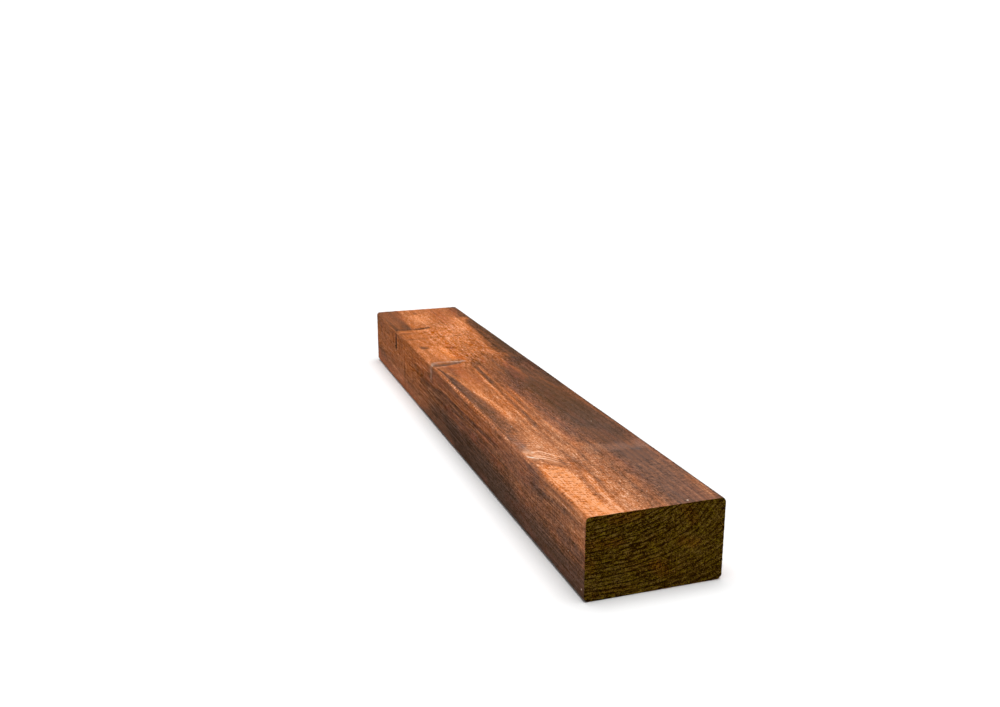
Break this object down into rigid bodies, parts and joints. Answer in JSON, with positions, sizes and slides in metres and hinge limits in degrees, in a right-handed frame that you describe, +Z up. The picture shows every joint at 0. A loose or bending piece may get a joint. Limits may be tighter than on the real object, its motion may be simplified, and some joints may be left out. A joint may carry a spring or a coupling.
{
  "type": "wooden batten",
  "caption": "Short length of brown-treated softwood batten, rectangular in section, with eased long edges and square sawn ends.",
  "frame": {"origin": "middle of the wide face that the batten lies on", "axes": "+X along the grain, towards the end shown nearest in the picture; +Y across the width; +Z up through the thickness"},
  "size_m": [0.467, 0.075, 0.044],
  "materials": {
    "treated_softwood": "machined softwood in a brown preservative stain: warm orange-brown with dark streaks on the long faces, and dark olive-brown, open end grain on the saw cuts"
  },
  "bodies": {
    "root": {"batten": "treated_softwood"}
  },
  "joints": []
}
